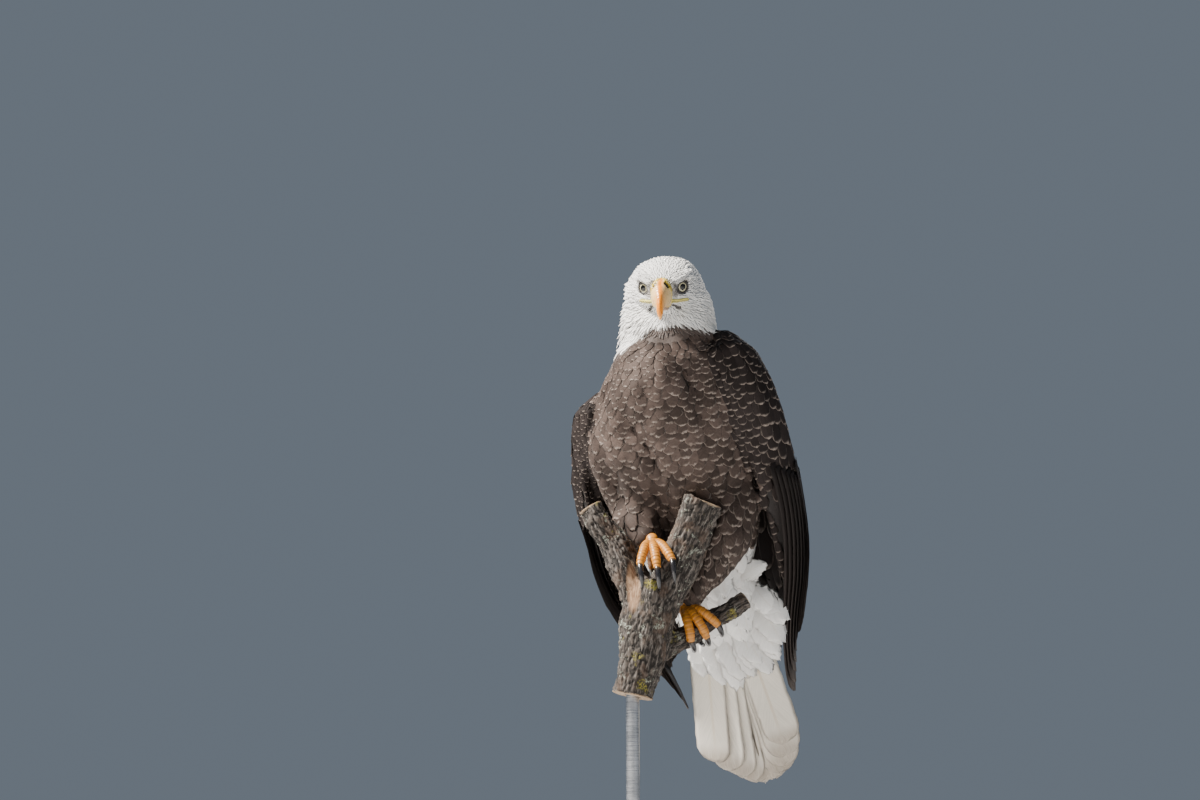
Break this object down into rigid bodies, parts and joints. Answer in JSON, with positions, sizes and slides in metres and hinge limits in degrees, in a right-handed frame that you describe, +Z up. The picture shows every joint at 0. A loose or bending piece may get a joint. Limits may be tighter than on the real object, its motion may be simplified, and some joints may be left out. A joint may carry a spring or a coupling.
{
  "type": "bald eagle model on a perch",
  "caption": "Life-size still model of a bald eagle gripping a cut forked branch, wings folded, head turned and looking down, held up by a rod on a round base.",
  "frame": {"origin": "middle of the underside of the round base", "axes": "+Z up, a viewer facing the bird stands on the -Y side, +X on the viewer's right"},
  "size_m": [0.36, 0.36, 0.8128],
  "materials": {
    "brown_plumage": "matt feathers, dark brown with paler edges",
    "white_plumage": "matt white feathers",
    "flight_feathers": "smooth blackish-brown feathers with a slight sheen",
    "yellow_horn": "satin yellow-orange bill and scaly feet",
    "talon": "satin black horn",
    "iris": "glossy pale yellow eye with a black pupil",
    "bark": "rough cracked grey-brown dead wood",
    "stand_steel": "brushed",
    "stand_wood": "satin dark stain"
  },
  "bodies": {
    "root": {"trunk": "brown_plumage", "neck": "white_plumage", "head": "white_plumage", "bill_upper": "yellow_horn", "bill_lower": "yellow_horn", "eye_left": "iris", "eye_right": "iris", "wing_left": "brown_plumage", "secondaries_left": "flight_feathers", "primaries_left": "flight_feathers", "wing_right": "brown_plumage", "secondaries_right": "flight_feathers", "primaries_right": "flight_feathers", "tail_coverts": "white_plumage", "tail": "white_plumage", "thigh_left": "brown_plumage", "thigh_right": "brown_plumage", "foot_left": "yellow_horn", "foot_right": "yellow_horn", "claw_left_inner": "talon", "claw_left_middle": "talon", "claw_left_outer": "talon", "claw_left_hind": "talon", "claw_right_inner": "talon", "claw_right_middle": "talon", "claw_right_outer": "talon", "claw_right_hind": "talon", "perch": "bark", "stand_rod": "stand_steel", "stand_base": "stand_wood"}
  },
  "joints": []
}
